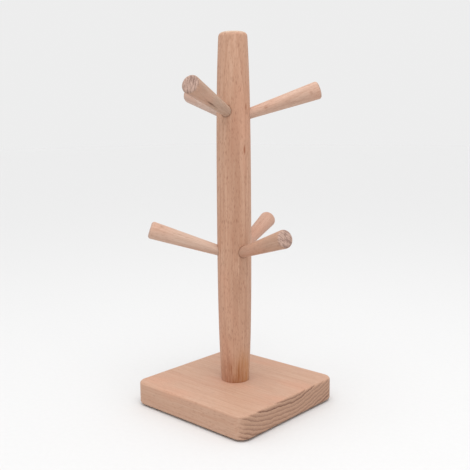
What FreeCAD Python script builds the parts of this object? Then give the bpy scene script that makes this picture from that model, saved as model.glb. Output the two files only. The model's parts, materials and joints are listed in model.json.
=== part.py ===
"""Mug tree in solid beech: a square base block, a barrel-turned post and two tiers of three pegs.

Row frame: millimetres, +Z up, origin on the resting plane under the middle of the base.
The board's grain runs along X. Each wooden piece, fastener and pad is its own solid.
"""

import FreeCAD
import Part

import math
import os

Vector = FreeCAD.Vector
ORIGIN = Vector(0, 0, 0)
UP = Vector(0, 0, 1)
FULL_TURN = 360.0

# Base block
BASE_SIDE = 137.0
BASE_THICKNESS = 22.0
BASE_CORNER_RADIUS = 10.5
BASE_EDGE_ROUND = 2.3

# Adhesive pads under the base
PAD_RADIUS = 7.0
PAD_THICKNESS = 1.5
PAD_EDGE_ROUND = 0.4
PAD_INSET = 18.0

# Post: radii at five evenly spaced stations from the foot to the top
POST_HEIGHT = 328.0
POST_FOOT_RADIUS = 13.3
POST_LOWER_RADIUS = 15.85
POST_MIDDLE_RADIUS = 16.1
POST_UPPER_RADIUS = 15.6
POST_TOP_RADIUS = 13.0
POST_TOP_ROUND = 4.5

# Spigot on the foot of the post, and its socket in the base
SPIGOT_RADIUS = 10.0
SPIGOT_LENGTH = 7.7
SPIGOT_CHAMFER = 0.6
SPIGOT_RADIAL_GAP = 0.05
SPIGOT_END_GAP = 0.3

# Pegs
PEGS_PER_TIER = 3
PEG_FIRST_AZIMUTH = 45.0
PEG_RISE = 18.0
PEG_ROOT_RADIUS = 5.0
PEG_TIP_RADIUS = 8.4
PEG_TIP_ROUND = 2.6
PEG_REACH = 83.5
PEG_CORE_WALL = 3.5
PEG_TENON_CHAMFER = 0.5
PEG_GLUE_GAP = 0.05
PEG_END_GAP = 0.3
PEG_TAPER_LEAD = 0.3
UPPER_TIER_BELOW_TOP = 78.5
UPPER_FRONT_PEG_LIFT = 2.2
LOWER_TIER_ABOVE_BASE = 122.0

# Fastening from below: a button-head bolt and a washer pull the post down by its threaded insert
COUNTERBORE_DEPTH = 7.0
BOLT_RADIUS = 3.0
BOLT_HOLE_GAP = 0.3
BOLT_HEAD_RADIUS = 5.25
BOLT_HEAD_HEIGHT = 3.3
BOLT_HEAD_CROWN_RADIUS = 2.9
BOLT_END_CHAMFER = 0.6
BOLT_ENGAGEMENT = 11.0
HEX_KEY_SIZE = 4.0
HEX_SOCKET_DEPTH = 2.0
WASHER_RADIUS = 9.0
WASHER_THICKNESS = 1.6
WASHER_HOLE_GAP = 0.2
WASHER_SIDE_GAP = 1.0
INSERT_RADIUS = 5.5
INSERT_LENGTH = 13.0
INSERT_LEAD_CHAMFER = 1.0
INSERT_RADIAL_GAP = 0.03
THREAD_GAP = 0.04
BOLT_TIP_ROOM = 6.0

# Heights that follow
BASE_BOTTOM = PAD_THICKNESS
BASE_TOP = BASE_BOTTOM + BASE_THICKNESS
POST_TOP = BASE_TOP + POST_HEIGHT
SPIGOT_END = BASE_TOP - SPIGOT_LENGTH
SOCKET_FLOOR = SPIGOT_END - SPIGOT_END_GAP
WASHER_SEAT = BASE_BOTTOM + COUNTERBORE_DEPTH
HEAD_SEAT = WASHER_SEAT - WASHER_THICKNESS
INSERT_TOP = SPIGOT_END + INSERT_LENGTH
BOLT_TIP = SPIGOT_END + BOLT_ENGAGEMENT
LOWER_TIER = BASE_TOP + LOWER_TIER_ABOVE_BASE
UPPER_TIER = POST_TOP - UPPER_TIER_BELOW_TOP


def cylinder(radius, bottom, top):
    """An upright cylinder on the post's axis between two heights."""
    return Part.makeCylinder(radius, top - bottom, Vector(0, 0, bottom), UP)


def turned(edges):
    """The solid that a closed outline of edges in the XZ plane makes when it turns round Z."""
    return Part.Face(Part.Wire(edges)).revolve(ORIGIN, UP, FULL_TURN)


def turned_polygon(corners):
    """The turned solid of an outline with straight sides, given as (radius, height) corners."""
    points = [Vector(radius, 0, height) for radius, height in corners]
    return turned([Part.makeLine(a, b) for a, b in zip(points, points[1:] + points[:1])])


def rounded(solid, radius, wanted):
    """The solid with the edges that wanted(edge) picks rounded to a radius."""
    return solid.makeFillet(radius, [edge for edge in solid.Edges if wanted(edge)])


def lies_at(height):
    """A test for edges that lie flat at a height."""
    return lambda edge: all(abs(z - height) < 1e-6 for z in (edge.BoundBox.ZMin, edge.BoundBox.ZMax))


def stands_upright(edge):
    """True for an edge parallel to Z."""
    return edge.BoundBox.XLength < 1e-6 and edge.BoundBox.YLength < 1e-6


def post_outline():
    """The barrel's outline from the foot to the top, as a smooth curve through its five stations."""
    radii = [POST_FOOT_RADIUS, POST_LOWER_RADIUS, POST_MIDDLE_RADIUS, POST_UPPER_RADIUS, POST_TOP_RADIUS]
    step = POST_HEIGHT / (len(radii) - 1)
    curve = Part.BSplineCurve()
    curve.interpolate([Vector(radius, 0, BASE_TOP + i * step) for i, radius in enumerate(radii)])
    return curve


def post_radius_at(height):
    """The barrel's radius at a height."""
    level = Part.makeLine(Vector(0, 0, height), Vector(BASE_SIDE, 0, height))
    return post_outline().toShape().distToShape(level)[1][0][0].x


def bore_start():
    """Where a bore ends inside, along it from the post's axis, so that a wall parts it from the next."""
    rise = math.radians(PEG_RISE)
    apart = math.cos(2 * math.pi / PEGS_PER_TIER)
    half_angle = math.acos(math.cos(rise) ** 2 * apart + math.sin(rise) ** 2) / 2
    bore_radius = PEG_ROOT_RADIUS + PEG_GLUE_GAP
    return (PEG_CORE_WALL / 2 + bore_radius * math.cos(half_angle)) / math.sin(half_angle)


def taper_start(tier):
    """Where a peg's straight root ends, just clear of the post's surface on its upper side."""
    rise = math.radians(PEG_RISE)
    exit_radius = post_radius_at(tier) + PEG_ROOT_RADIUS * math.sin(rise)
    return exit_radius / math.cos(rise) + PEG_TAPER_LEAD


def in_peg_place(solid, tier, azimuth):
    """Moves a solid made along +Z from the origin onto a peg's axis."""
    solid.rotate(ORIGIN, Vector(0, 1, 0), 90.0 - PEG_RISE)
    solid.rotate(ORIGIN, UP, azimuth)
    solid.translate(Vector(0, 0, tier))
    return solid


def peg(tier, azimuth):
    """One peg: a straight tenon for its bore, then a taper that widens to a softly rounded tip."""
    start = bore_start() + PEG_END_GAP
    body = turned_polygon([
        (0, start),
        (PEG_ROOT_RADIUS - PEG_TENON_CHAMFER, start),
        (PEG_ROOT_RADIUS, start + PEG_TENON_CHAMFER),
        (PEG_ROOT_RADIUS, taper_start(tier)),
        (PEG_TIP_RADIUS, PEG_REACH),
        (0, PEG_REACH),
    ])
    body = rounded(body, PEG_TIP_ROUND, lies_at(PEG_REACH))
    return in_peg_place(body, tier, azimuth)


def peg_bore(tier, azimuth):
    """The blind bore for one peg's tenon, run out past the post's surface."""
    bore = cylinder(PEG_ROOT_RADIUS + PEG_GLUE_GAP, bore_start(), PEG_REACH)
    return in_peg_place(bore, tier, azimuth)


def peg_places():
    """Each peg's name, height and azimuth. The lower tier stands half a step round from the upper."""
    step = FULL_TURN / PEGS_PER_TIER
    upper = [
        ("upper_peg_rear_right", UPPER_TIER),
        ("upper_peg_left", UPPER_TIER),
        ("upper_peg_front", UPPER_TIER + UPPER_FRONT_PEG_LIFT),
    ]
    lower = ["lower_peg_rear", "lower_peg_front_left", "lower_peg_right"]
    places = [(name, height, PEG_FIRST_AZIMUTH + i * step) for i, (name, height) in enumerate(upper)]
    places += [(name, LOWER_TIER, PEG_FIRST_AZIMUTH + (i + 0.5) * step) for i, name in enumerate(lower)]
    return places


def base_block():
    """The base board, with the post's socket above and the bolt's hole and counterbore below."""
    corner = Vector(-BASE_SIDE / 2, -BASE_SIDE / 2, BASE_BOTTOM)
    block = Part.makeBox(BASE_SIDE, BASE_SIDE, BASE_THICKNESS, corner)
    block = rounded(block, BASE_CORNER_RADIUS, stands_upright)
    for height in (BASE_BOTTOM, BASE_TOP):
        block = rounded(block, BASE_EDGE_ROUND, lies_at(height))
    socket = cylinder(SPIGOT_RADIUS + SPIGOT_RADIAL_GAP, SOCKET_FLOOR, BASE_TOP)
    hole = cylinder(BOLT_RADIUS + BOLT_HOLE_GAP, BASE_BOTTOM, BASE_TOP)
    counterbore = cylinder(WASHER_RADIUS + WASHER_SIDE_GAP, BASE_BOTTOM, WASHER_SEAT)
    return block.cut(socket).cut(hole).cut(counterbore)


def post():
    """The turned post: spigot, barrel, rounded top, six peg bores and the bore for its insert."""
    outline = post_outline()
    foot = [
        Vector(0, 0, SPIGOT_END),
        Vector(SPIGOT_RADIUS - SPIGOT_CHAMFER, 0, SPIGOT_END),
        Vector(SPIGOT_RADIUS, 0, SPIGOT_END + SPIGOT_CHAMFER),
        Vector(SPIGOT_RADIUS, 0, BASE_TOP),
        outline.StartPoint,
    ]
    top = [outline.EndPoint, Vector(0, 0, POST_TOP), foot[0]]
    edges = [Part.makeLine(a, b) for a, b in zip(foot, foot[1:])]
    edges.append(outline.toShape())
    edges += [Part.makeLine(a, b) for a, b in zip(top, top[1:])]
    body = rounded(turned(edges), POST_TOP_ROUND, lies_at(POST_TOP))
    for _, tier, azimuth in peg_places():
        body = body.cut(peg_bore(tier, azimuth))
    insert_bore = cylinder(INSERT_RADIUS + INSERT_RADIAL_GAP, SPIGOT_END, INSERT_TOP)
    tip_room = cylinder(BOLT_RADIUS + BOLT_HOLE_GAP, SPIGOT_END, INSERT_TOP + BOLT_TIP_ROOM)
    return body.cut(insert_bore).cut(tip_room)


def threaded_insert():
    """The metal insert in the foot of the post, its end flush with the spigot's."""
    return turned_polygon([
        (BOLT_RADIUS + THREAD_GAP, SPIGOT_END),
        (INSERT_RADIUS, SPIGOT_END),
        (INSERT_RADIUS, INSERT_TOP - INSERT_LEAD_CHAMFER),
        (INSERT_RADIUS - INSERT_LEAD_CHAMFER, INSERT_TOP),
        (BOLT_RADIUS + THREAD_GAP, INSERT_TOP),
    ])


def fixing_bolt():
    """The button-head bolt, head down in the counterbore, with a hexagon socket for its key."""
    head_end = HEAD_SEAT - BOLT_HEAD_HEIGHT
    rim_end = HEAD_SEAT - BOLT_HEAD_HEIGHT / 4
    seat_edge = Vector(BOLT_HEAD_RADIUS, 0, HEAD_SEAT)
    rim = Vector(BOLT_HEAD_RADIUS, 0, rim_end)
    crown = Vector(BOLT_HEAD_CROWN_RADIUS, 0, head_end)
    bulge = (rim + crown) / 2 + Vector(BOLT_HEAD_HEIGHT, 0, -BOLT_HEAD_HEIGHT) / 8
    shank = [
        Vector(BOLT_RADIUS, 0, HEAD_SEAT),
        Vector(BOLT_RADIUS, 0, BOLT_TIP - BOLT_END_CHAMFER),
        Vector(BOLT_RADIUS - BOLT_END_CHAMFER, 0, BOLT_TIP),
        Vector(0, 0, BOLT_TIP),
        Vector(0, 0, head_end),
        crown,
    ]
    edges = [Part.makeLine(a, b) for a, b in zip(shank, shank[1:])]
    edges.append(Part.Arc(crown, bulge, rim).toShape())
    edges += [Part.makeLine(rim, seat_edge), Part.makeLine(seat_edge, shank[0])]
    across_corners = HEX_KEY_SIZE / math.cos(math.radians(30))
    corners = [
        Vector(math.cos(math.radians(angle)), math.sin(math.radians(angle)), 0) * (across_corners / 2)
        for angle in range(0, 361, 60)
    ]
    hexagon = Part.Face(Part.makePolygon(corners)).extrude(UP * HEX_SOCKET_DEPTH)
    hexagon.translate(UP * head_end)
    return turned(edges).cut(hexagon)


def bolt_washer():
    """The wide washer that spreads the bolt's pull on the counterbore's floor."""
    ring = cylinder(WASHER_RADIUS, HEAD_SEAT, WASHER_SEAT)
    return ring.cut(cylinder(BOLT_RADIUS + WASHER_HOLE_GAP, HEAD_SEAT, WASHER_SEAT))


def foot_pad(side_x, side_y):
    """One round pad near a corner; side_x and side_y are -1 or 1."""
    offset = BASE_SIDE / 2 - PAD_INSET
    pad = Part.makeCylinder(PAD_RADIUS, PAD_THICKNESS, Vector(side_x * offset, side_y * offset, 0), UP)
    return rounded(pad, PAD_EDGE_ROUND, lies_at(0))


def build():
    """Every node's name and solid."""
    parts = {
        "base_block": base_block(),
        "post": post(),
        "threaded_insert": threaded_insert(),
        "fixing_bolt": fixing_bolt(),
        "bolt_washer": bolt_washer(),
    }
    for name, tier, azimuth in peg_places():
        parts[name] = peg(tier, azimuth)
    for along_y, side_y in (("front", -1), ("rear", 1)):
        for along_x, side_x in (("left", -1), ("right", 1)):
            parts[f"foot_pad_{along_y}_{along_x}"] = foot_pad(side_x, side_y)
    return parts


os.makedirs("parts", exist_ok=True)
for name, shape in build().items():
    if not shape.isValid() or len(shape.Solids) != 1:
        raise ValueError(f"{name} is not one valid solid")
    shape.Solids[0].exportStep(f"parts/{name}.step")
    print(f"{name}: {shape.Volume / 1000:.2f} cm3")
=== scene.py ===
"""The looks of a beech mug tree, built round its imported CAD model. Metres, +Z up, -Y front."""

import json
import math

import bmesh
import bpy
import numpy as np
from mathutils import Matrix, Vector, noise


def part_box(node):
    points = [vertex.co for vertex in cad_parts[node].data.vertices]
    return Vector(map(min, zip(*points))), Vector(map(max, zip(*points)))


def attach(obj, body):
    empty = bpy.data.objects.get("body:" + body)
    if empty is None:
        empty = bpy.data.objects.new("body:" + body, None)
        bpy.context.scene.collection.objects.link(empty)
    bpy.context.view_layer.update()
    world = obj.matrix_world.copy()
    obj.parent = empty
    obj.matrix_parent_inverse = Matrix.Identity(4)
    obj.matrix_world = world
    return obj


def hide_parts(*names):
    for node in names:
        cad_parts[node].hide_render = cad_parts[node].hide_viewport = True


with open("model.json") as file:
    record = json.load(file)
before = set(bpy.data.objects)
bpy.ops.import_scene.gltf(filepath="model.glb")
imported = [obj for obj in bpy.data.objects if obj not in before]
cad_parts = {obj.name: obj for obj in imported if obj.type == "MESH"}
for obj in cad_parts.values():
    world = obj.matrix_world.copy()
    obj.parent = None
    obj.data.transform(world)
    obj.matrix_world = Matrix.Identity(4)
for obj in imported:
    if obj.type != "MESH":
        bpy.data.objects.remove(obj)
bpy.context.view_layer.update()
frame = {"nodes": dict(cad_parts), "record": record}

MM = 0.001
UP = Vector((0, 0, 1))

# Places that the frame gives
BASE_LOW, BASE_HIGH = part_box("base_block")
POST_LOW, POST_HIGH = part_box("post")
PEG_HOOKS = {
    mount["name"].removesuffix("_hook"): mount
    for mount in frame["record"]["mounts"]
    if mount["name"].endswith("_hook")
}

# Base block
CORNER_RADIUS = 10.5 * MM
EDGE_ROUND = 2.3 * MM
EDGE_WAVER = 0.35 * MM
EDGE_WAVER_SCALE = 28
SOCKET_RADIUS = 10.05 * MM
SOCKET_DEPTH = 8.0 * MM
BOLT_HOLE_RADIUS = 3.3 * MM
COUNTERBORE_RADIUS = 10.0 * MM
COUNTERBORE_DEPTH = 7.0 * MM

# Where the base board's pith lies, in millimetres: along Y from the middle, and above the resting plane
PITH_OFFSET = -6.5
PITH_HEIGHT = 159.5

# Post: radii at five evenly spaced stations from the base's top to the post's top
POST_RADII = [13.3 * MM, 15.85 * MM, 16.1 * MM, 15.6 * MM, 13.0 * MM]
TOP_ROUND = 4.5 * MM
TOP_ROUND_TURN = math.radians(80)
DOME_END_TURN = math.radians(89.7)
SPIGOT_CHAMFER = 0.6 * MM
INSERT_GAP = 0.03 * MM
BOLT_TIP_ROOM = 6.0 * MM
BORE_GAP = 0.05 * MM
BORE_END_GAP = 0.3 * MM

# Pegs
PEG_ROOT_RADIUS = 5.0 * MM
PEG_TIP_RADIUS = 8.4 * MM
PEG_TIP_ROUND = 2.6 * MM
PEG_TENON_CHAMFER = 0.5 * MM
PEG_STRAIGHT_END = 17.0 * MM
SAW_DEPTH = 0.3 * MM

# Mesh steps, and how wide a face's innermost loop is as a share of its radius
TENON_STEP = 1.5 * MM
TAPER_STEP = 0.9 * MM
TIP_STEP = 0.22 * MM
TIP_CORE_RADIUS = 0.15 * MM
CORE_SHARE = 0.3

# Fastener and pads
BOLT_RADIUS = 3.0 * MM
WASHER_HOLE_RADIUS = 3.2 * MM
WASHER_DISH = 0.2 * MM
PAD_EDGE_ROUND = 0.4 * MM
PAD_DISH = 0.08 * MM
THREAD_PITCH = 1.0 * MM
THREAD_DEPTH = 0.55 * MM
THREAD_CLEARANCE = 0.04 * MM
WOOD_THREAD_PITCH = 2.6 * MM
WOOD_THREAD_DEPTH = 1.0 * MM
HEAD_CROWN_RADIUS = 2.9 * MM
HEX_KEY_SIZE = 4.0 * MM
HEX_SOCKET_DEPTH = 2.0 * MM
HEX_POINT_DEPTH = 0.5 * MM
POINT_RADIUS = 0.4 * MM
HEAD_RIM_SHARE = 0.75
THREAD_RUNOUT = 1.5 * MM
NOSE_LENGTH = 0.6 * MM
NOSE_DEPTH = 0.5 * MM
OUTER_THREAD_RUNOUT = 0.8 * MM
INNER_THREAD_RUNOUT = 0.6 * MM
INSERT_LEAD_LENGTH = 2.0 * MM
INSERT_LEAD_DEPTH = 0.9 * MM
SHARP_ANGLE = math.radians(32)


# ---------------------------------------------------------------- mesh building


def skin(name, loops, closed=False):
    """A mesh from loops of equal length joined by quads.

    Each open end is closed by a fan of triangles; closed joins the last loop to the first instead.
    """
    count = len(loops[0])
    mesh = bmesh.new()
    rows = [[mesh.verts.new(point) for point in loop] for loop in loops]
    pairs = list(zip(rows, rows[1:] + rows[:1])) if closed else list(zip(rows, rows[1:]))
    for low, high in pairs:
        for i in range(count):
            j = (i + 1) % count
            mesh.faces.new((low[i], low[j], high[j], high[i]))
    if not closed:
        for row in (rows[0], rows[-1]):
            centre = mesh.verts.new(sum((vert.co for vert in row), Vector()) / count)
            for i in range(count):
                mesh.faces.new((row[i], row[(i + 1) % count], centre))
    bmesh.ops.recalc_face_normals(mesh, faces=mesh.faces)
    data = bpy.data.meshes.new(name)
    mesh.to_mesh(data)
    mesh.free()
    piece = bpy.data.objects.new(name, data)
    bpy.context.scene.collection.objects.link(piece)
    smooth(piece)
    return piece


def smooth(piece):
    """Smooth shading that keeps a mesh's real corners sharp."""
    piece.data.polygons.foreach_set("use_smooth", [True] * len(piece.data.polygons))
    piece.data.set_sharp_from_angle(angle=SHARP_ANGLE)


def circle(radius, height, count):
    """A level circle of points round the Z axis."""
    turns = [2 * math.pi * i / count for i in range(count)]
    return [Vector((radius * math.cos(t), radius * math.sin(t), height)) for t in turns]


def lathe(name, profile, count, closed=False):
    """The piece that a profile of (radius, height) points makes when it turns round Z."""
    return skin(name, [circle(radius, height, count) for radius, height in profile], closed)


def run(start, end, step):
    """Evenly spaced (radius, height) points from start up to, but not at, end."""
    a, b = np.array(start), np.array(end)
    count = max(1, round(float(np.linalg.norm(b - a)) / step))
    return [tuple(a + (b - a) * i / count) for i in range(count)]


def arc(centre, radius, first, last, count):
    """(radius, height) points on a circular arc between two angles, both ends included."""
    angles = [first + (last - first) * i / count for i in range(count + 1)]
    return [(centre[0] + radius * math.cos(a), centre[1] + radius * math.sin(a)) for a in angles]


def finish_piece(piece, material, node):
    """Gives a piece its material and slot, rides it on the one body and lets it stand for its CAD node."""
    piece.data.materials.append(material)
    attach(piece, "root")
    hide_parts(node)


# ---------------------------------------------------------------- material building


def srgb(red, green, blue):
    """A linear colour from 8-bit display values."""
    def linear(value):
        value /= 255
        return value / 12.92 if value <= 0.04045 else ((value + 0.055) / 1.055) ** 2.4
    return (linear(red), linear(green), linear(blue), 1.0)


class Graph:
    """A material's node tree, with one short method for each kind of step."""

    def __init__(self, name):
        self.material = bpy.data.materials.new(name)
        self.material.use_nodes = True
        self.tree = self.material.node_tree
        self.tree.nodes.clear()
        self.shader = self.node("ShaderNodeBsdfPrincipled")
        output = self.node("ShaderNodeOutputMaterial")
        self.tree.links.new(self.shader.outputs["BSDF"], output.inputs["Surface"])
        self.coordinates = self.node("ShaderNodeTexCoord")

    def node(self, kind, **settings):
        made = self.tree.nodes.new(kind)
        for key, value in settings.items():
            setattr(made, key, value)
        return made

    def feed(self, socket, value):
        """Links a socket to another, or sets its value."""
        if isinstance(value, bpy.types.NodeSocket):
            self.tree.links.new(value, socket)
        else:
            socket.default_value = value

    def math(self, operation, a, b=0.0, c=0.0, clamp=False):
        made = self.node("ShaderNodeMath", operation=operation, use_clamp=clamp)
        for socket, value in zip(made.inputs, (a, b, c)):
            self.feed(socket, value)
        return made.outputs[0]

    def vector(self, operation, a, b=(0, 0, 0)):
        made = self.node("ShaderNodeVectorMath", operation=operation)
        self.feed(made.inputs[0], a)
        if operation == "SCALE":
            self.feed(made.inputs["Scale"], b)
        else:
            self.feed(made.inputs[1], b)
        return made.outputs["Value"] if operation in ("LENGTH", "DOT_PRODUCT") else made.outputs["Vector"]

    def split(self, vector):
        made = self.node("ShaderNodeSeparateXYZ")
        self.feed(made.inputs[0], vector)
        return made.outputs

    def join(self, x, y, z):
        made = self.node("ShaderNodeCombineXYZ")
        for socket, value in zip(made.inputs, (x, y, z)):
            self.feed(socket, value)
        return made.outputs[0]

    def noise(self, vector, scale=1.0, detail=2.0, roughness=0.5, output="Fac"):
        made = self.node("ShaderNodeTexNoise")
        settings = {"Vector": vector, "Scale": scale, "Detail": detail, "Roughness": roughness}
        for key, value in settings.items():
            self.feed(made.inputs[key], value)
        return made.outputs[output]

    def cells(self, vector, scale=1.0):
        """Voronoi cells: the distance to each cell's middle, and a random colour per cell."""
        made = self.node("ShaderNodeTexVoronoi")
        self.feed(made.inputs["Vector"], vector)
        self.feed(made.inputs["Scale"], scale)
        return made.outputs["Distance"], made.outputs["Color"]

    def random(self, value):
        made = self.node("ShaderNodeTexWhiteNoise", noise_dimensions="1D")
        self.feed(made.inputs["W"], value)
        return made.outputs["Value"]

    def ramp(self, value, low, high, to_low=0.0, to_high=1.0):
        """A smooth step from to_low at low to to_high at high."""
        made = self.node("ShaderNodeMapRange", interpolation_type="SMOOTHSTEP")
        for socket, number in zip(made.inputs, (value, low, high, to_low, to_high)):
            self.feed(socket, number)
        return made.outputs[0]

    def mix(self, share, a, b, blend="MIX"):
        made = self.node("ShaderNodeMix", data_type="RGBA", blend_type=blend)
        self.feed(made.inputs[0], share)
        self.feed(made.inputs[6], a)
        self.feed(made.inputs[7], b)
        return made.outputs[2]

    def bump(self, height, distance, strength=1.0):
        made = self.node("ShaderNodeBump")
        self.feed(made.inputs["Height"], height)
        made.inputs["Distance"].default_value = distance
        made.inputs["Strength"].default_value = strength
        self.tree.links.new(made.outputs["Normal"], self.shader.inputs["Normal"])

    def blob(self, millimetres, centre, size):
        """1 in the middle of an ellipsoid, falling smoothly to 0 at its skin."""
        offset = self.vector("SUBTRACT", millimetres, centre)
        reach = self.vector("LENGTH", self.vector("DIVIDE", offset, size))
        return self.ramp(reach, 1.0, 0.25)


class Beech:
    """Solid beech whose rings, rays, pores and fibres run through the whole piece, so every cut face agrees.

    place is the wood's own frame, whose Z axis follows the fibres. pith is where the tree's centre lies on
    its X and Y axes, in millimetres. patches are (centre, size, colour, share) in that frame, also in
    millimetres: real knots and flecks, and painted shade and painted reflection. seams are (start, axis,
    radius) of the pegs that leave the piece, in metres, each ringed by a dark joint line with painted
    crevice shade. grooves names a mesh attribute that holds how deep a cut mark is at each point, which
    darkens the colour as painted shade in the grooves.
    """

    RING = srgb(146, 98, 72)
    RAY = srgb(138, 88, 64)
    PORE = srgb(118, 76, 56)
    END_RING = srgb(106, 70, 53)
    SEAM_SHADE = srgb(112, 70, 48)
    BLUSH = srgb(204, 150, 124)
    GROOVE_SHADE = srgb(120, 92, 84)

    # How finely each noise varies per millimetre: across the fibres, then along them
    WANDER = (0.02, 0.006)
    WAVER = (0.16, 0.012)
    FIBRE = (1.9, 0.045)
    BAND = (0.12, 0.008)
    STREAK = (0.8, 0.02)
    FLUSH = (0.035, 0.016)
    MOTTLE = (0.5, 0.09)
    BEND = (0.6, 0.2)
    PORES = (5.5, 0.42)
    SPECKLE = (3.2, 1.4)

    # A ray's cell in millimetres: round the rings, along the grain, and towards the pith
    RAY_CELL = (1.05, 7.0, 9.0)
    SMALL_RAY_CELL = (0.70, 4.5, 5.0)
    FLECK_CORE = 0.10

    # Millimetres
    SEED_STEP = 137.0
    WANDER_REACH = 7.0
    LEAST_PITH_DISTANCE = 20.0
    SEAM_WIDTH = 1.2
    SEAM_CORE = 0.1
    WIDEST_FRAY = 3.0
    BUMP_HEIGHT = 0.09

    def __init__(
        self, name, place, pith, seed, pale, deep, spacing=3.8, ring_share=0.3, ray_share=0.55,
        band_share=0.3, end_share=0.8, end_pale=srgb(203, 168, 146), end_deep=srgb(174, 136, 112),
        patches=(), seams=(), grooves=None,
    ):
        g = Graph(name)
        self.graph, self.material = g, g.material
        self.set_grain_space(place, seed)
        self.set_rings(pith, spacing)
        self.set_figure()
        side = self.side_grain(pale, deep, ring_share, ray_share, band_share)
        end = self.end_grain(end_pale, end_deep, end_share)
        ragged = g.math("MULTIPLY_ADD", self.mottle, 0.7, -0.35)
        cut_across = g.ramp(g.math("ADD", g.math("ABSOLUTE", self.facing), ragged), 0.4, 0.95)
        colour = g.mix(cut_across, side, end)
        for patch in patches:
            colour = self.stained_and_shaded(colour, *patch)
        # A dark ring round each peg's root: the joint's glue line with painted crevice shade
        for seam in seams:
            colour = self.seamed_and_shaded(colour, *seam)
        # Darker the deeper each cut mark lies: painted shade in the grooves of the tip
        if grooves:
            depth = g.node("ShaderNodeAttribute", attribute_name=grooves).outputs["Fac"]
            colour = g.mix(g.math("MULTIPLY", depth, 0.75, clamp=True), colour, self.GROOVE_SHADE)
        g.feed(g.shader.inputs["Base Color"], colour)
        self.set_surface(cut_across)

    def set_grain_space(self, place, seed):
        """Millimetres across, up and along the grain, and how squarely the surface cuts the fibres."""
        g = self.graph
        moved = g.vector("SUBTRACT", g.coordinates.outputs["Object"], place.translation)
        self.across, self.up, along = (
            g.vector("DOT_PRODUCT", moved, place.col[i].to_3d() / MM) for i in range(3)
        )
        self.millimetres = g.join(self.across, self.up, along)
        self.along = g.math("ADD", along, seed * self.SEED_STEP)
        self.facing = g.vector("DOT_PRODUCT", g.coordinates.outputs["Normal"], place.col[2].to_3d())

    def set_rings(self, pith, spacing):
        """Annual rings round a pith that wanders along the grain: each darkens to a sharp line outside."""
        g = self.graph
        wander = self.grain_noise(self.WANDER, output="Color")
        wander = g.vector("SCALE", g.vector("SUBTRACT", wander, (0.5, 0.5, 0.5)), self.WANDER_REACH)
        wander = g.split(wander)
        from_pith = g.math("ADD", g.math("SUBTRACT", self.across, pith[0]), wander[0])
        above_pith = g.math("ADD", g.math("SUBTRACT", self.up, pith[1]), wander[1])
        self.radial = g.vector("LENGTH", g.join(from_pith, above_pith, 0.0))
        turn = g.math("ARCTAN2", above_pith, from_pith)
        self.tangential = g.math("MULTIPLY", turn, max(self.LEAST_PITH_DISTANCE, math.hypot(*pith)))

        waver = self.grain_noise(self.WAVER)
        rings = g.math("ADD", g.math("DIVIDE", self.radial, spacing), g.math("MULTIPLY", waver, 0.8))
        part = g.math("FRACT", rings)
        strength = g.math("MULTIPLY_ADD", g.random(g.math("FLOOR", rings)), 0.6, 0.4)
        rise = g.math("POWER", part, 2.0)
        fall = g.ramp(part, 0.9, 1.0, 1.0, 0.0)
        self.late = g.math("MULTIPLY", g.math("MULTIPLY", rise, fall), strength)

    def set_figure(self):
        """Fibres, mottle, rays and pores. A ray is thin round the rings and long towards the pith."""
        self.fibre = self.grain_noise(self.FIBRE, 4.0, 0.6)
        self.streak = self.grain_noise(self.STREAK, 3.0, 0.65)
        self.mottle = self.grain_noise(self.MOTTLE, 3.0, 0.6)
        bend = self.grain_noise(self.BEND)
        self.rays = self.flecks(bend, self.RAY_CELL, 0.38, 0.10)
        self.small_rays = self.flecks(bend, self.SMALL_RAY_CELL, 0.40, 0.15)
        self.pores = self.graph.ramp(self.grain_noise(self.PORES, 2.0, 0.6), 0.60, 0.72)
        self.speckle = self.grain_noise(self.SPECKLE, 3.0, 0.65)

    def side_grain(self, pale, deep, ring_share, ray_share, band_share):
        """The colour along the fibres: bands and streaks, a blush, rings, rays and pores."""
        g = self.graph
        band = self.grain_noise(self.BAND, 3.0, 0.55)
        flush = self.grain_noise(self.FLUSH)
        tone = g.math("ADD", g.math("MULTIPLY", band, band_share), g.math("MULTIPLY", self.fibre, 0.3))
        tone = g.math("ADD", tone, g.math("MULTIPLY", self.streak, 0.7 - band_share))
        colour = g.mix(g.ramp(tone, 0.34, 0.66), deep, pale)
        colour = g.mix(g.ramp(flush, 0.45, 0.7, 0.0, 0.4), colour, self.BLUSH)
        colour = g.mix(g.math("MULTIPLY", g.ramp(self.mottle, 0.45, 0.75), 0.35), colour, deep)
        colour = g.mix(g.math("MULTIPLY", self.late, ring_share), colour, self.RING)
        colour = g.mix(g.math("MULTIPLY", self.rays, ray_share), colour, self.RAY)
        colour = g.mix(g.math("MULTIPLY", self.small_rays, ray_share * 0.8), colour, self.RAY)
        return g.mix(g.math("MULTIPLY", self.pores, 0.22), colour, self.PORE)

    def end_grain(self, pale, deep, ring_share):
        """The colour across the fibres: duller, with strong rings and pale threads of ray."""
        g = self.graph
        colour = g.mix(g.ramp(self.speckle, 0.35, 0.65), deep, pale)
        colour = g.mix(g.math("MULTIPLY", self.late, ring_share), colour, self.END_RING)
        colour = g.mix(g.math("MULTIPLY", self.rays, 0.3), colour, pale)
        return g.mix(g.math("MULTIPLY", self.pores, 0.25), colour, self.PORE)

    def stained_and_shaded(self, colour, centre, size, patch_colour, share):
        """The colour with a frayed, streaked patch in it, used both for real knots and flecks and for
        painted shade and painted reflection.
        """
        g = self.graph
        offset = g.join(g.math("SUBTRACT", self.fibre, 0.5), g.math("SUBTRACT", self.mottle, 0.5), 0.0)
        fray = g.vector("SCALE", offset, min(self.WIDEST_FRAY, 0.5 * min(size)))
        spread = g.blob(g.vector("ADD", self.millimetres, fray), centre, size)
        streaked = g.ramp(self.streak, 0.40, 0.60, share, 0.35 * share)
        return g.mix(g.math("MULTIPLY", spread, streaked), colour, patch_colour)

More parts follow.
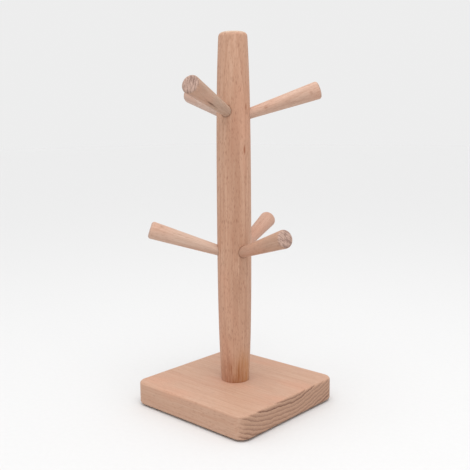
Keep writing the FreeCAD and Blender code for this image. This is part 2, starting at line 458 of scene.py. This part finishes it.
    def seamed_and_shaded(self, colour, start, axis, radius):
        """The colour with a dark ring round a peg, on the side of the axis where the peg leaves: the joint's
        glue line with painted shade of the crevice round the peg's root.
        """
        g = self.graph
        offset = g.vector("SUBTRACT", self.millimetres, start / MM)
        reach = g.vector("LENGTH", g.vector("CROSS_PRODUCT", offset, axis))
        ahead = g.math("GREATER_THAN", g.vector("DOT_PRODUCT", offset, axis), 0.0)
        near = g.ramp(reach, radius / MM + self.SEAM_WIDTH, radius / MM + self.SEAM_CORE, 0.0, 0.6)
        return g.mix(g.math("MULTIPLY", ahead, near), colour, self.SEAM_SHADE)

    def set_surface(self, cut_across):
        """Roughness and relief: matter and rougher where the fibres are cut across."""
        g = self.graph
        rough = g.math("MULTIPLY_ADD", self.fibre, 0.16, 0.50)
        rough = g.math("SUBTRACT", rough, g.math("MULTIPLY", self.rays, 0.10))
        rough = g.math("MULTIPLY_ADD", cut_across, 0.16, rough)
        g.feed(g.shader.inputs["Roughness"], rough)
        g.shader.inputs["Specular IOR Level"].default_value = 0.35

        height = g.math("MULTIPLY", self.fibre, 0.9)
        height = g.math("SUBTRACT", height, g.math("MULTIPLY", self.pores, 0.8))
        height = g.math("SUBTRACT", height, g.math("MULTIPLY", self.rays, 0.4))
        ring_height = g.math("MULTIPLY_ADD", cut_across, 1.2, 0.3)
        height = g.math("ADD", height, g.math("MULTIPLY", self.late, ring_height))
        torn = g.math("MULTIPLY", self.speckle, cut_across)
        height = g.math("ADD", height, g.math("MULTIPLY", torn, 1.4))
        g.bump(height, self.BUMP_HEIGHT * MM)

    def grain_noise(self, scales, detail=2.0, roughness=0.5, output="Fac"):
        """Noise that is fine across the fibres and stretched along them."""
        g = self.graph
        fine, coarse = scales
        stretched = g.join(
            g.math("MULTIPLY", self.across, fine),
            g.math("MULTIPLY", self.up, fine),
            g.math("MULTIPLY", self.along, coarse),
        )
        return g.noise(stretched, 1.0, detail, roughness, output)

    def flecks(self, bend, cell, reach, rarity):
        """Spindle-shaped flecks in ray space, one in each cell that the dice keep."""
        g = self.graph
        ray_space = g.join(
            g.math("ADD", g.math("DIVIDE", self.tangential, cell[0]), g.math("MULTIPLY", bend, 0.8)),
            g.math("DIVIDE", self.along, cell[1]),
            g.math("DIVIDE", self.radial, cell[2]),
        )
        distance, dice = g.cells(ray_space)
        kept = g.math("GREATER_THAN", g.split(dice)[0], rarity)
        weight = g.math("MULTIPLY_ADD", g.split(dice)[1], 0.7, 0.3)
        return g.math("MULTIPLY", g.math("MULTIPLY", g.ramp(distance, reach, self.FLECK_CORE), kept), weight)


def metal(name, colour, dark, roughness, seed):
    """Plated or machined metal with a faint mottle, turning marks and dull spots."""
    g = Graph(name)
    place = g.vector("ADD", g.vector("SCALE", g.coordinates.outputs["Object"], 1 / MM), (seed, 0, 0))
    x, y, z = g.split(place)
    mottle = g.noise(place, 0.8, 4.0, 0.6)
    stretched = g.join(g.math("MULTIPLY", x, 0.4), g.math("MULTIPLY", y, 0.4), g.math("MULTIPLY", z, 9.0))
    marks = g.noise(stretched, 1.0, 3.0)
    g.feed(g.shader.inputs["Base Color"], g.mix(g.ramp(mottle, 0.35, 0.7), colour, dark))
    g.feed(g.shader.inputs["Roughness"], g.math("MULTIPLY_ADD", mottle, 0.2, roughness - 0.1))
    g.shader.inputs["Metallic"].default_value = 1.0
    g.bump(g.math("ADD", marks, g.math("MULTIPLY", mottle, 0.5)), 0.01 * MM)
    return g.material


def rubber(name):
    """Dark foam rubber with a fine closed-cell grain and a little dust."""
    g = Graph(name)
    place = g.vector("SCALE", g.coordinates.outputs["Object"], 1 / MM)
    distance, _ = g.cells(place, 3.0)
    dust = g.noise(place, 0.6, 4.0, 0.65)
    colour = g.mix(g.ramp(distance, 0.1, 0.6), srgb(30, 30, 31), srgb(46, 46, 47))
    colour = g.mix(g.ramp(dust, 0.55, 0.8, 0.0, 0.35), colour, srgb(92, 88, 84))
    g.feed(g.shader.inputs["Base Color"], colour)
    g.feed(g.shader.inputs["Roughness"], g.math("MULTIPLY_ADD", dust, 0.2, 0.72))
    g.bump(g.math("SUBTRACT", 1.0, distance), 0.06 * MM)
    return g.material


# ---------------------------------------------------------------- wooden pieces


def rounded_square(half, corner, side_steps=44, corner_steps=20):
    """A level square loop with rounded corners, whose points keep their order whatever its size."""
    loop = []
    straight = half - corner
    for quarter in range(4):
        spin = Matrix.Rotation(quarter * math.pi / 2, 3, "Z")
        for i in range(side_steps):
            loop.append(spin @ Vector((half, -straight + 2 * straight * i / side_steps, 0)))
        for i in range(corner_steps):
            turn = math.pi / 2 * i / corner_steps
            point = Vector((straight + corner * math.cos(turn), straight + corner * math.sin(turn), 0))
            loop.append(spin @ point)
    return loop


def base_loops():
    """The base block's loops: down its outside, under to the counterbore, up the hole and over the top."""
    low, high = BASE_LOW.z, BASE_HIGH.z
    half = BASE_HIGH.x
    outer = rounded_square(half, CORNER_RADIUS)
    inner = rounded_square(half - EDGE_ROUND, CORNER_RADIUS - EDGE_ROUND)
    angles = [math.atan2(point.y, point.x) for point in outer]

    def edge_loop(turn, upper):
        """A loop on the rounded edge, whose radius wavers a little along the edge as sanding leaves it."""
        loop = []
        for point, toward in zip(outer, inner):
            place = Vector((point.x, point.y, 0.1 if upper else 0.2))
            radius = EDGE_ROUND + EDGE_WAVER * noise.noise(place * EDGE_WAVER_SCALE)
            flat = point + (toward - point) * (radius * (1 - math.cos(turn)) / EDGE_ROUND)
            rise = radius * (1 - math.sin(turn))
            loop.append(Vector((flat.x, flat.y, high - rise if upper else low + rise)))
        return loop

    def blend(outside, radius, share, height):
        """A flat loop part of the way from the square's outline to a circle."""
        ring = [Vector((radius * math.cos(a), radius * math.sin(a), height)) for a in angles]
        return [a.lerp(b, share) for a, b in zip(outside, ring)]

    def tube(radius, start, end, count):
        steps = [start + (end - start) * i / count for i in range(count + 1)]
        return [blend(outer, radius, 1.0, z) for z in steps]

    arc_steps, side_steps, face_steps = 8, 14, 24
    turns = [math.pi / 2 * i / arc_steps for i in range(arc_steps + 1)]
    upper_edge = [edge_loop(turn, True) for turn in reversed(turns)]
    lower_edge = [edge_loop(turn, False) for turn in turns]
    loops = list(upper_edge)
    for i in range(1, side_steps):
        loops.append([a.lerp(b, i / side_steps) for a, b in zip(upper_edge[-1], lower_edge[0])])
    loops += lower_edge
    underside, top = lower_edge[-1], upper_edge[0]
    loops += [blend(underside, COUNTERBORE_RADIUS, i / face_steps, low) for i in range(1, face_steps)]
    loops += tube(COUNTERBORE_RADIUS, low, low + COUNTERBORE_DEPTH, 6)
    loops += tube(BOLT_HOLE_RADIUS, low + COUNTERBORE_DEPTH, high - SOCKET_DEPTH, 4)
    loops += tube(SOCKET_RADIUS, high - SOCKET_DEPTH, high, 6)
    loops += [blend(top, SOCKET_RADIUS, 1 - i / face_steps, high) for i in range(1, face_steps)]
    return loops


def make_base():
    """The base block. Its fibres run along X, and its pith lies far above it, so the rings hang in arcs."""
    piece = skin("beech_base", base_loops(), closed=True)
    place = Matrix(((0, 0, 1, 0), (1, 0, 0, 0), (0, 1, 0, 0), (0, 0, 0, 1)))
    wood = Beech(
        "base_beech", place, (PITH_OFFSET, PITH_HEIGHT), seed=1, pale=srgb(198, 163, 140),
        deep=srgb(187, 145, 121), ring_share=0.16, ray_share=0.30, band_share=0.15, end_share=1.3,
        end_pale=srgb(199, 162, 139), end_deep=srgb(170, 130, 105),
    )
    finish_piece(piece, wood.material, "base_block")


def post_radius(height):
    """The barrel's radius at a height, on a smooth curve through its five stations."""
    share = (height - BASE_HIGH.z) / (POST_HIGH.z - BASE_HIGH.z)
    curve = np.polyfit(np.linspace(0, 1, len(POST_RADII)), POST_RADII, len(POST_RADII) - 1)
    return float(np.polyval(curve, share))


def post_profile():
    """The post's outline: insert bore, spigot, shoulder, barrel, rounded edge and low dome."""
    insert_low, insert_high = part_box("threaded_insert")
    bore = insert_high.x + INSERT_GAP
    spigot = SOCKET_RADIUS - BORE_GAP
    shoulder = BASE_HIGH.z
    profile = [
        (BOLT_HOLE_RADIUS * CORE_SHARE, insert_high.z + BOLT_TIP_ROOM),
        (BOLT_HOLE_RADIUS, insert_high.z + BOLT_TIP_ROOM),
        (BOLT_HOLE_RADIUS, insert_high.z),
        (bore, insert_high.z),
        (bore, insert_low.z),
        (spigot - SPIGOT_CHAMFER, POST_LOW.z),
        (spigot, POST_LOW.z + SPIGOT_CHAMFER),
        (spigot, shoulder),
    ]
    # The rounded edge starts where its arc and the dome's meet at one slope, found in a few passes
    side_height = POST_HIGH.z - TOP_ROUND
    for _ in range(6):
        reach = post_radius(side_height) - TOP_ROUND
        dome_radius = TOP_ROUND + reach / math.cos(TOP_ROUND_TURN)
        dome_middle = POST_HIGH.z - dome_radius
        side_height = dome_middle + (dome_radius - TOP_ROUND) * math.sin(TOP_ROUND_TURN)
    rows = 180
    heights = [shoulder + (side_height - shoulder) * i / rows for i in range(rows)]
    profile += [(post_radius(z), z) for z in heights]
    profile += arc((reach, side_height), TOP_ROUND, 0, TOP_ROUND_TURN, 10)
    profile += arc((0, dome_middle), dome_radius, TOP_ROUND_TURN, DOME_END_TURN, 14)[1:]
    return profile


def peg_frame(name):
    """A peg's own frame: +Z along its axis from the post's axis, +X level, +Y towards its upper side."""
    hook = PEG_HOOKS[name]
    axis = Vector(hook["axis"]).normalized()
    place = Vector(hook["pos_m"])
    start = place - axis * (math.hypot(place.x, place.y) / math.hypot(axis.x, axis.y))
    level = UP.cross(axis).normalized()
    upper = axis.cross(level)
    matrix = Matrix((level, upper, axis)).transposed().to_4x4()
    matrix.translation = start
    return matrix


def peg_ends(name, matrix):
    """Where a peg starts and ends along its own axis, read from its CAD solid."""
    inverse = matrix.inverted()
    along = [(inverse @ vert.co).z for vert in frame["nodes"][name].data.vertices]
    return min(along), max(along)


def make_post():
    """The turned post with its six peg bores cut out, flecked near its top, with painted shade and a painted
    warm reflection of the base on its foot, and a dark joint line with painted crevice shade round each
    peg's root.
    """
    piece = lathe("beech_post", post_profile(), 168)
    seams = []
    for name in PEG_HOOKS:
        matrix = peg_frame(name)
        start, end = peg_ends(name, matrix)
        bore = PEG_ROOT_RADIUS + BORE_GAP
        seams.append((matrix.translation, matrix.col[2].to_3d(), PEG_ROOT_RADIUS))
        cutter = lathe("cutter", [(bore, start - BORE_END_GAP), (bore, end)], 64)
        cutter.matrix_world = matrix
        drill = piece.modifiers.new("bore", "BOOLEAN")
        drill.object, drill.operation, drill.solver = cutter, "DIFFERENCE", "EXACT"
        bpy.context.view_layer.update()
        drilled = bpy.data.meshes.new_from_object(piece.evaluated_get(bpy.context.evaluated_depsgraph_get()))
        piece.modifiers.clear()
        piece.data = drilled
        bpy.data.objects.remove(cutter)
    smooth(piece)
    brown, painted_reflection_gold = srgb(146, 86, 54), srgb(188, 134, 86)
    # Streaked patches on the post: gold is a painted warm reflection of the base and brown is painted shade
    # on the foot; the thin brown band where the post meets the base is painted contact shade; the last two
    # are real dark flecks.
    patches = [
        ((14, -4, 30), (21, 15, 34), painted_reflection_gold, 0.9),
        ((8, -10, 26), (22, 14, 32), brown, 0.6),
        ((0, 0, 23.5), (40, 40, 1.6), brown, 0.6),
        ((15.4, 0, 283.4), (1.5, 1.5, 4.5), brown, 1.0),
        ((15.6, -2.7, 244.9), (1.4, 1.4, 6), brown, 1.0),
    ]
    wood = Beech(
        "post_beech", Matrix.Identity(4), (-47.0, 52.0), seed=2, pale=srgb(205, 166, 141),
        deep=srgb(186, 141, 115), spacing=3.4, ring_share=0.42, ray_share=0.6,
        end_pale=srgb(212, 190, 170), end_deep=srgb(194, 166, 144),
        patches=patches, seams=seams,
    )
    finish_piece(piece, wood.material, "post")


def saw_relief(kind, turn, seed):
    """How deep a cut's marks on a peg's tip are, from 0 to 1, as a function of place in metres."""

    def depth(x, y):
        u = (x * math.cos(turn) + y * math.sin(turn)) / MM
        v = (y * math.cos(turn) - x * math.sin(turn)) / MM
        ragged = noise.noise(Vector((u * 0.5, v * 0.12, seed)))
        fine = noise.noise(Vector((u * 1.9, v * 0.25, seed + 9)))
        torn = noise.noise(Vector((u * 0.9, v * 0.9, seed + 21)))
        ridge = 0.5 + 0.5 * math.sin(2 * math.pi * (u / kind["pitch"] + ragged * 1.2))
        cross = 0.5 + 0.5 * math.sin(2 * math.pi * (v / (kind["pitch"] * 1.5) + torn * 1.5))
        level = (1 - kind["cross"]) * ridge + kind["cross"] * ridge * cross
        return min(1.0, max(0.0, level * 0.75 + fine * 0.5 + torn * 0.35))

    return depth


# How each kind of cut marks a tip: millimetres between ridges, how far they cross, and how deep they are
ROUGH_CUT = {"pitch": 3.4, "cross": 0.0, "depth": 1.2}
CROSS_CUT = {"pitch": 3.0, "cross": 0.4, "depth": 1.3}
SANDED_CUT = {"pitch": 3.4, "cross": 0.2, "depth": 0.25}
# Each peg's cut, which way the cut runs, seed, and pale and deep tones
PEG_LOOKS = {
    "upper_peg_rear_right": (SANDED_CUT, 1.0, 3, (208, 177, 158), (190, 155, 135)),
    "upper_peg_left": (SANDED_CUT, 0.4, 4, (207, 184, 171), (192, 166, 151)),
    "upper_peg_front": (ROUGH_CUT, 0.15, 5, (191, 163, 143), (175, 144, 124)),
    "lower_peg_rear": (SANDED_CUT, 2.0, 6, (205, 168, 148), (190, 147, 126)),
    "lower_peg_front_left": (SANDED_CUT, 0.7, 7, (211, 183, 165), (195, 162, 142)),
    "lower_peg_right": (CROSS_CUT, 0.8, 8, (193, 158, 136), (177, 138, 116)),
}
# Two small knots on one peg, and on another a dark streak of painted shadow along its underside where it
# passes close by the peg behind it, in the peg's own frame and millimetres
KNOT = srgb(136, 84, 58)
PEG_PATCHES = {
    "upper_peg_rear_right": [
        ((-5.7, 0.7, 31.1), (2.0, 1.9, 2.5), KNOT, 0.7),
        ((-7.9, -0.4, 74.2), (2.0, 1.9, 2.3), KNOT, 0.7),
    ],
    # Painted shadow on the front peg's underside, in the narrow gap by the peg behind it
    "upper_peg_front": [((3.5, -5.8, 46.5), (1.35, 1.35, 19.0), srgb(92, 56, 38), 0.95)],
}


def peg_profile(start, end):
    """A peg's outline in its own frame: tenon, straight root, taper, soft tip edge and tip face."""
    root = (PEG_ROOT_RADIUS, PEG_STRAIGHT_END)
    slope = (PEG_TIP_RADIUS - PEG_ROOT_RADIUS) / (end - PEG_STRAIGHT_END)
    edge = end - PEG_TIP_ROUND
    edge_radius = PEG_TIP_RADIUS - slope * PEG_TIP_ROUND
    face_radius = edge_radius - PEG_TIP_ROUND
    profile = [(PEG_ROOT_RADIUS * CORE_SHARE, start), (PEG_ROOT_RADIUS - PEG_TENON_CHAMFER, start)]
    profile += run((PEG_ROOT_RADIUS, start + PEG_TENON_CHAMFER), root, TENON_STEP)
    profile += run(root, (edge_radius, edge), TAPER_STEP)
    profile += arc((face_radius, edge), PEG_TIP_ROUND, 0, math.pi / 2, 7)
    profile += run((face_radius, end), (TIP_CORE_RADIUS, end), TIP_STEP)[1:]
    return profile


def cut_tip(piece, end, cut, turn, seed):
    """Sinks a cut's marks into the tip face and its rounded edge, and stores how deep each point lies, which
    the material turns into painted shade in the grooves.
    """
    depth = saw_relief(cut, turn, seed)
    shades = []
    for vert in piece.data.vertices:
        face = min(1.0, max(0.0, 1.6 * (vert.co.z - end + PEG_TIP_ROUND) / PEG_TIP_ROUND))
        level = depth(vert.co.x, vert.co.y) * cut["depth"] * face * face
        shades.append(level if math.hypot(vert.co.x, vert.co.y) < PEG_TIP_RADIUS else 0.0)
        vert.co.z -= level * SAW_DEPTH
    piece.data.attributes.new("groove", "FLOAT", "POINT").data.foreach_set("value", shades)


def make_peg(name):
    cut, turn, seed, pale, deep = PEG_LOOKS[name]
    matrix = peg_frame(name)
    start, end = peg_ends(name, matrix)
    piece = lathe("beech_" + name, peg_profile(start, end), 150)
    cut_tip(piece, end, cut, turn, seed)
    piece.data.transform(matrix)
    smooth(piece)
    wood = Beech(
        name + "_beech", matrix, (26.0 + 3 * seed, 18.0 - 5 * seed), seed=seed, pale=srgb(*pale),
        deep=srgb(*deep), spacing=2.9, ring_share=0.25, ray_share=0.35, end_share=0.35,
        end_pale=srgb(206, 177, 162), end_deep=srgb(182, 150, 135), patches=PEG_PATCHES.get(name, ()),
        grooves="groove",
    )
    finish_piece(piece, wood.material, name)


# ---------------------------------------------------------------- fastener and pads


def helix_level(turn, height, pitch):
    """How far up a V thread a point lies: 0 at its root and 1 at its crest."""
    place = (height / pitch - turn / (2 * math.pi)) % 1.0
    flank = 1 - abs(2 * place - 1)
    return min(1.0, max(0.0, (flank - 0.12) / 0.76))


def thread_loop(crest, depth, height, pitch, fade, count):
    """One loop of a thread, whose depth fades away as fade goes to 0."""
    loop = []
    for i in range(count):
        turn = 2 * math.pi * i / count
        radius = crest - depth * (1 - helix_level(turn, height, pitch)) * fade
        loop.append(Vector((radius * math.cos(turn), radius * math.sin(turn), height)))
    return loop


def hexagon_loop(width, height, count, roundness=0.0):
    """A level hexagon loop of a given width across its flats, part of the way to a circle."""
    loop = []
    for i in range(count):
        turn = 2 * math.pi * i / count
        hexagon = width / 2 / math.cos((turn % (math.pi / 3)) - math.pi / 6)
        radius = hexagon + (width / 2 / math.cos(math.pi / 6) - hexagon) * roundness
        loop.append(Vector((radius * math.cos(turn), radius * math.sin(turn), height)))
    return loop


def make_bolt():
    low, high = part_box("fixing_bolt")
    washer_low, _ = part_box("bolt_washer")
    head = high.x
    seat, crown = washer_low.z, low.z
    rim = crown + (seat - crown) * HEAD_RIM_SHARE
    floor = crown + HEX_SOCKET_DEPTH
    lip = 0.12 * MM
    count, head_steps, rows_per_pitch = 96, 12, 14
    loops = [
        circle(POINT_RADIUS, floor + HEX_POINT_DEPTH, count),
        hexagon_loop(HEX_KEY_SIZE, floor, count),
        hexagon_loop(HEX_KEY_SIZE, crown + lip * 2, count),
        hexagon_loop(HEX_KEY_SIZE + lip, crown + lip, count, 0.5),
        circle(HEAD_CROWN_RADIUS, crown, count),
    ]
    for i in range(1, head_steps + 1):
        turn = math.pi / 2 * i / head_steps
        radius = HEAD_CROWN_RADIUS + (head - HEAD_CROWN_RADIUS) * math.sin(turn)
        loops.append(circle(radius, rim - (rim - crown) * math.cos(turn), count))
    loops += [
        circle(head, seat - lip, count),
        circle(head - lip, seat, count),
        circle(BOLT_RADIUS + lip, seat, count),
    ]
    rows = round((high.z - seat) / THREAD_PITCH * rows_per_pitch)
    for i in range(rows + 1):
        height = seat + (high.z - seat) * i / rows
        fade = min(1.0, (height - seat) / THREAD_RUNOUT)
        nose = min(1.0, (high.z - height) / NOSE_LENGTH)
        crest = BOLT_RADIUS - (1 - nose) * NOSE_DEPTH
        loops.append(thread_loop(crest, THREAD_DEPTH * nose, height, THREAD_PITCH, fade, count))
    piece = skin("zinc_bolt", loops)
    zinc = metal("bolt_zinc", srgb(196, 198, 200), srgb(150, 152, 156), 0.34, 11)
    finish_piece(piece, zinc, "fixing_bolt")


def make_washer():
    low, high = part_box("bolt_washer")
    lip, step = 0.15 * MM, 0.6 * MM
    inner, outer = WASHER_HOLE_RADIUS, high.x
    rim = low.z + WASHER_DISH
    profile = run((inner + lip, low.z), (outer - lip, rim), step)
    profile += [(outer - lip, rim), (outer, rim + lip), (outer, high.z - lip)]
    profile += run((outer - lip, high.z), (inner + lip, high.z), step)
    profile += [(inner + lip, high.z), (inner, high.z - lip), (inner, low.z + lip)]
    piece = lathe("zinc_washer", profile, 128, closed=True)
    zinc = metal("washer_zinc", srgb(200, 202, 204), srgb(158, 160, 163), 0.38, 23)
    finish_piece(piece, zinc, "bolt_washer")


def make_insert():
    low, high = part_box("threaded_insert")
    count, rows_per_pitch = 96, 12
    inner = BOLT_RADIUS + THREAD_CLEARANCE
    rows = round((high.z - low.z) / THREAD_PITCH * rows_per_pitch)
    heights = [low.z + (high.z - low.z) * i / rows for i in range(rows + 1)]
    loops = []
    for height in heights:
        fade = min(1.0, min(height - low.z, high.z - height) / OUTER_THREAD_RUNOUT)
        lead = max(0.0, 1 - (high.z - height) / INSERT_LEAD_LENGTH) * INSERT_LEAD_DEPTH
        loops.append(thread_loop(high.x - lead, WOOD_THREAD_DEPTH, height, WOOD_THREAD_PITCH, fade, count))
    for height in reversed(heights):
        fade = min(1.0, min(height - low.z, high.z - height) / INNER_THREAD_RUNOUT)
        loops.append(thread_loop(inner, THREAD_DEPTH * fade, height, THREAD_PITCH, 1.0, count))
    piece = skin("brass_insert", loops, closed=True)
    brass = metal("insert_brass", srgb(214, 178, 96), srgb(176, 138, 66), 0.32, 37)
    finish_piece(piece, brass, "threaded_insert")


def make_pad(node, material):
    low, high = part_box(node)
    centre = (low + high) / 2
    radius = (high.x - low.x) / 2
    flat = radius - PAD_EDGE_ROUND
    lip = 0.1 * MM
    rings = [float(ring) for ring in np.linspace(POINT_RADIUS, flat, 14)]
    profile = [(ring, low.z + PAD_DISH * (1 - (ring / radius) ** 2)) for ring in rings]
    profile += arc((flat, low.z + PAD_EDGE_ROUND), PAD_EDGE_ROUND, -math.pi / 2, 0, 6)
    profile += [(radius, high.z - lip), (radius - lip, high.z)]
    profile += [(radius * 0.5, high.z), (POINT_RADIUS, high.z)]
    piece = lathe("rubber_" + node, profile, 96)
    piece.data.transform(Matrix.Translation((centre.x, centre.y, 0)))
    finish_piece(piece, material, node)


# ---------------------------------------------------------------- stage, lights and camera


def make_stage():
    """A wide slab of pale paper whose top is the resting plane."""
    half, thickness = 9.0, 0.02
    corners = ((-half, -half), (half, -half), (half, half), (-half, half))
    floor = skin("floor", [[Vector((x, y, z)) for x, y in corners] for z in (-thickness, 0.0)])
    g = Graph("floor_paper")
    grain = g.noise(g.coordinates.outputs["Object"], 220.0, 3.0)
    g.feed(g.shader.inputs["Base Color"], g.mix(grain, srgb(217, 217, 217), srgb(221, 221, 221)))
    g.shader.inputs["Roughness"].default_value = 0.9
    floor.data.materials.append(g.material)


def make_light(name, place, target, size, power):
    """A square softbox that faces a target."""
    light = bpy.data.lights.new(name, "AREA")
    light.size, light.energy = size, power
    lamp = bpy.data.objects.new(name, light)
    lamp.location = place
    lamp.rotation_euler = (Vector(target) - Vector(place)).to_track_quat("-Z", "Y").to_euler()
    bpy.context.scene.collection.objects.link(lamp)


def make_lights():
    """An even pale surround, a broad overhead glow that reaches the far floor, and a softbox close above."""
    world = bpy.data.worlds.new("studio")
    world.use_nodes = True
    world.node_tree.nodes["Background"].inputs["Color"].default_value = (1.0, 1.0, 1.0, 1.0)
    world.node_tree.nodes["Background"].inputs["Strength"].default_value = 0.85
    bpy.context.scene.world = world
    glow = bpy.data.lights.new("overhead", "SUN")
    glow.energy, glow.angle = 1.1, math.radians(60)
    sky = bpy.data.objects.new("overhead", glow)
    sky.rotation_euler = Vector((0.1, -0.3, 1)).to_track_quat("Z", "Y").to_euler()
    bpy.context.scene.collection.objects.link(sky)
    make_light("softbox", (0.28, -0.15, 1.0), (0, 0, 0.15), 0.6, 2.4)


def make_camera():
    """A camera that looks down a little from the front right, with its azimuth measured from -Y."""
    azimuth = math.radians(41.63)
    distance, height = 0.65574, 0.26415
    pitch, yaw, roll = math.radians(8.6), math.radians(1.59), math.radians(-0.66)
    place = Vector((math.sin(azimuth) * distance, -math.cos(azimuth) * distance, height))
    level = Matrix.Rotation(yaw, 3, "Z") @ Vector((-math.sin(azimuth), math.cos(azimuth), 0))
    right = level.cross(UP)
    forward = level * math.cos(pitch) - UP * math.sin(pitch)
    upward = right.cross(forward)
    rolled_right = right * math.cos(roll) + upward * math.sin(roll)
    rolled_up = upward * math.cos(roll) - right * math.sin(roll)
    data = bpy.data.cameras.new("camera")
    data.sensor_width = 36.0
    data.lens = 53.73
    data.shift_x = 0.0426
    data.clip_start = 0.01
    camera = bpy.data.objects.new("camera", data)
    matrix = Matrix((rolled_right, rolled_up, -forward)).transposed().to_4x4()
    matrix.translation = place
    camera.matrix_world = matrix
    bpy.context.scene.collection.objects.link(camera)
    bpy.context.scene.camera = camera


make_base()
make_post()
for peg_name in PEG_HOOKS:
    make_peg(peg_name)
make_bolt()
make_washer()
make_insert()
pad_rubber = rubber("pad_foam")
for node_name in sorted(frame["nodes"]):
    if node_name.startswith("foot_pad"):
        make_pad(node_name, pad_rubber)
make_stage()
make_lights()
make_camera()
bpy.context.scene.view_settings.view_transform = "Standard"
